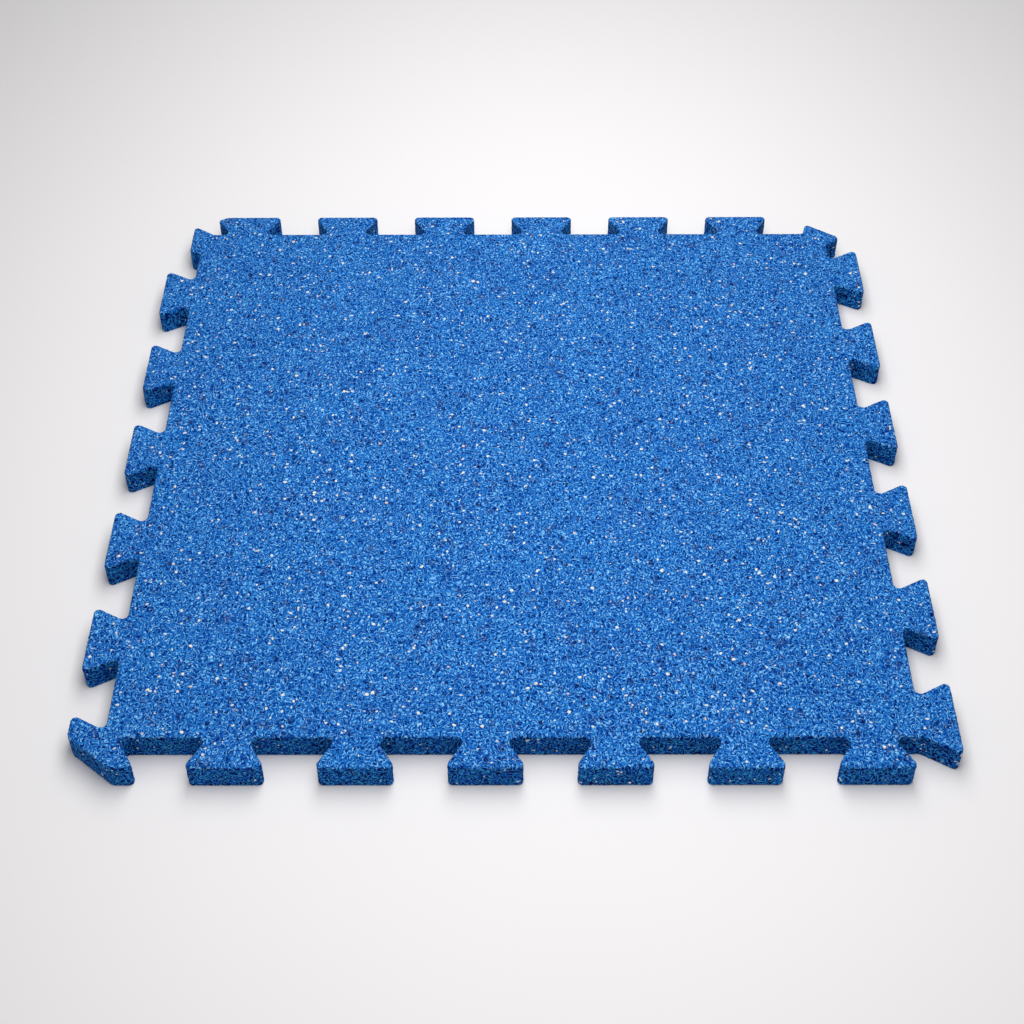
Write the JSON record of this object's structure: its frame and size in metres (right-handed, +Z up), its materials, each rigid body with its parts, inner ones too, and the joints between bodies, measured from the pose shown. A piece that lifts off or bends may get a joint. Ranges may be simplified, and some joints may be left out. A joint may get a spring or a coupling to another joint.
{
  "type": "rubber gym floor tile",
  "caption": "Square interlocking gym floor tile of bonded blue rubber granules, with dovetail tabs along all edges and slanted part tabs at the corners.",
  "frame": {"origin": "centre of the square body on the underside", "axes": "+Z up through the thickness, +X to the right and +Y to the back as the picture shows the tile"},
  "size_m": [0.6366, 0.6366, 0.022],
  "materials": {
    "blue_rubber": "matt bonded granules, blue with cream flecks"
  },
  "bodies": {
    "root": {"tile": "blue_rubber"}
  },
  "joints": []
}
